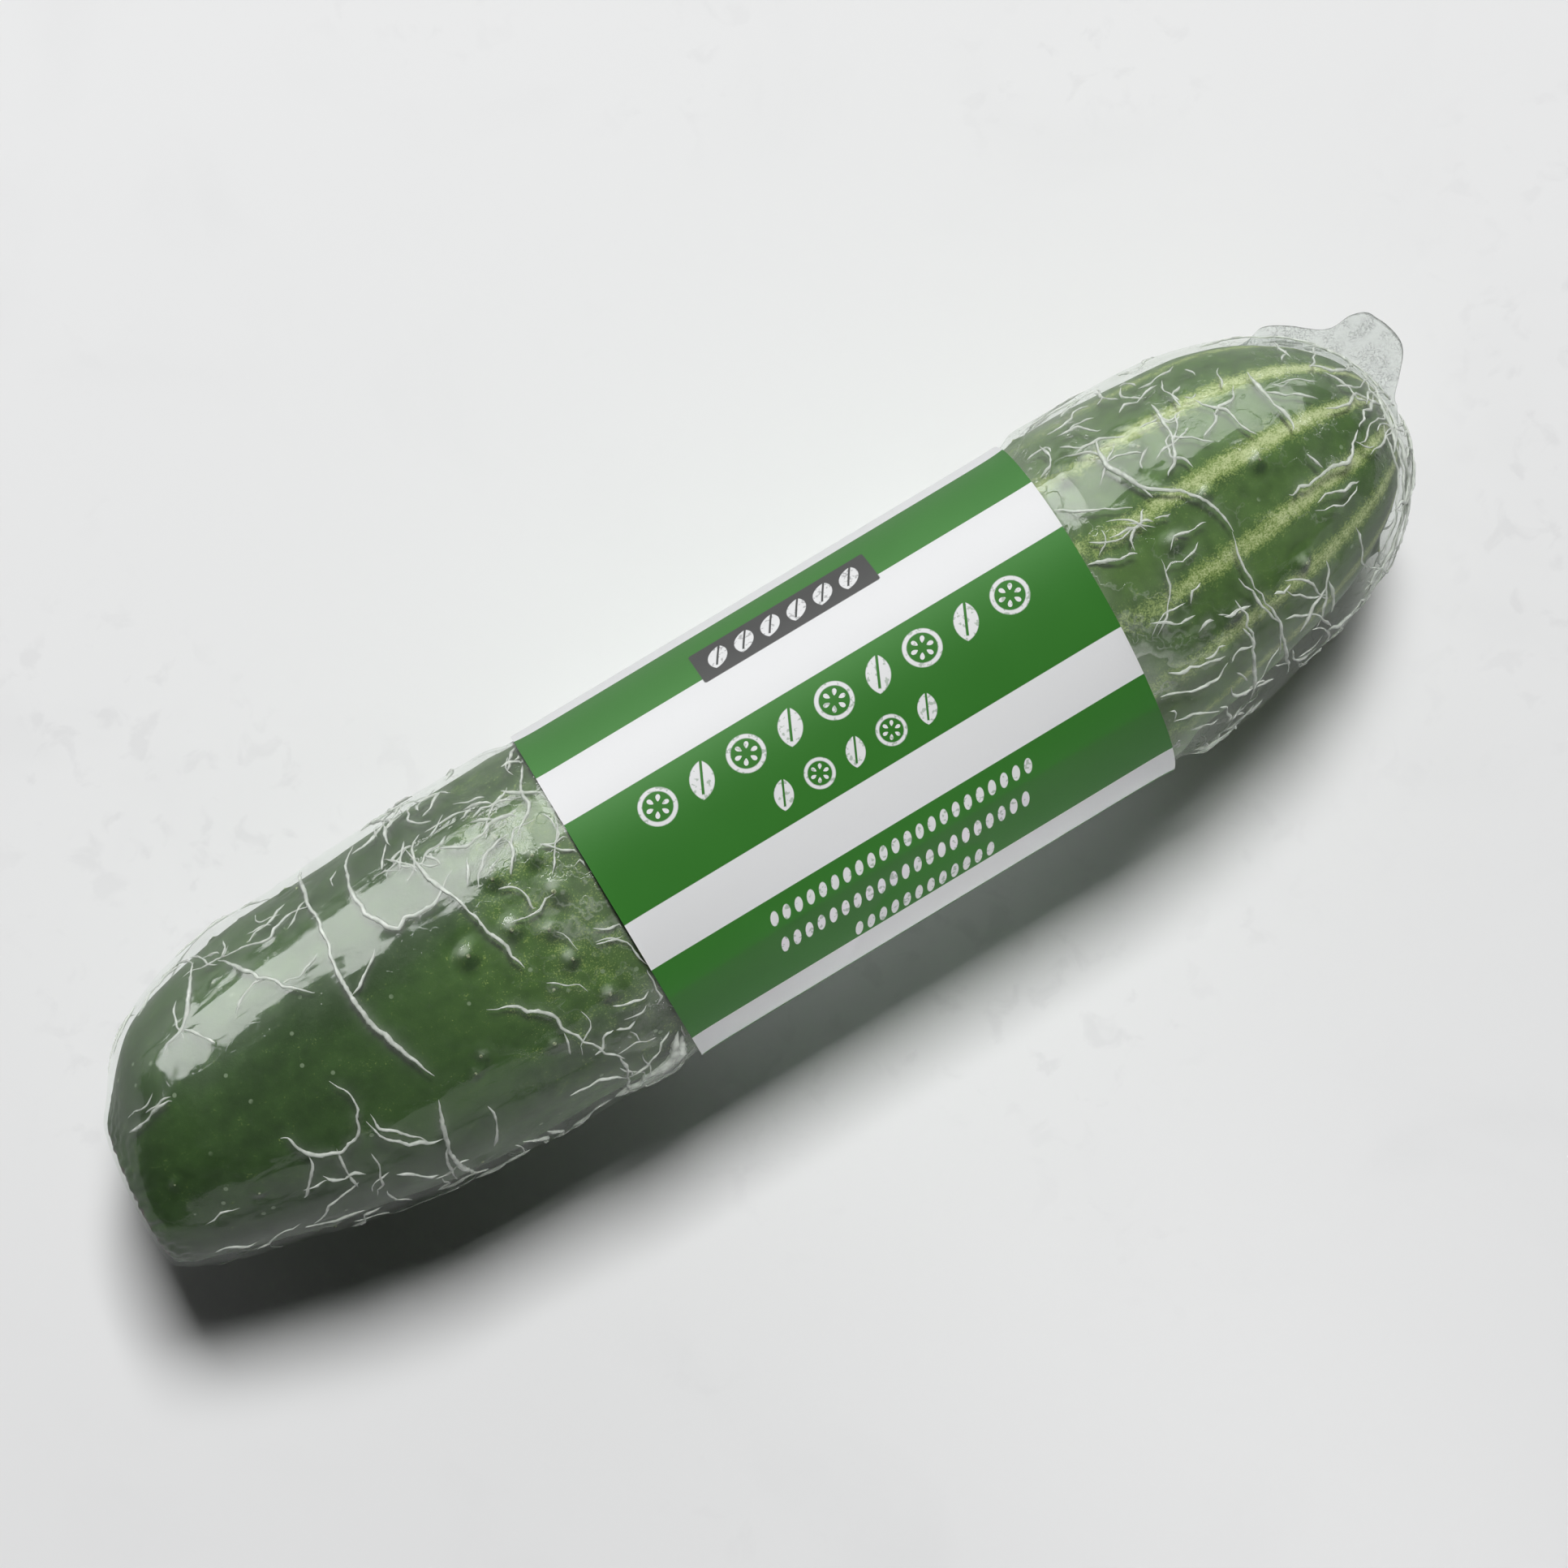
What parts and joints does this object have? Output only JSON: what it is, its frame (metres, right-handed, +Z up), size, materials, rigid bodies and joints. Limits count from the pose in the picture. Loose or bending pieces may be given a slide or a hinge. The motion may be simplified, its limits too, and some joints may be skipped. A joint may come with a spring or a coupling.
{
  "type": "shrink-wrapped cucumber",
  "caption": "Short whole cucumber sealed in clear shrink film, with a striped paper sleeve round its middle and a flat film tail.",
  "frame": {"origin": "middle of the footprint, on the surface that the fruit lies on", "axes": "+X along the fruit from its cut stem end to its rounded blossom end, +Z up"},
  "size_m": [0.2157, 0.052, 0.0518],
  "materials": {
    "skin": "satin",
    "film": "gloss",
    "printed_paper": "satin"
  },
  "bodies": {
    "root": {"cucumber": "skin", "shrink_film": "film", "label_sleeve": "printed_paper"}
  },
  "joints": []
}
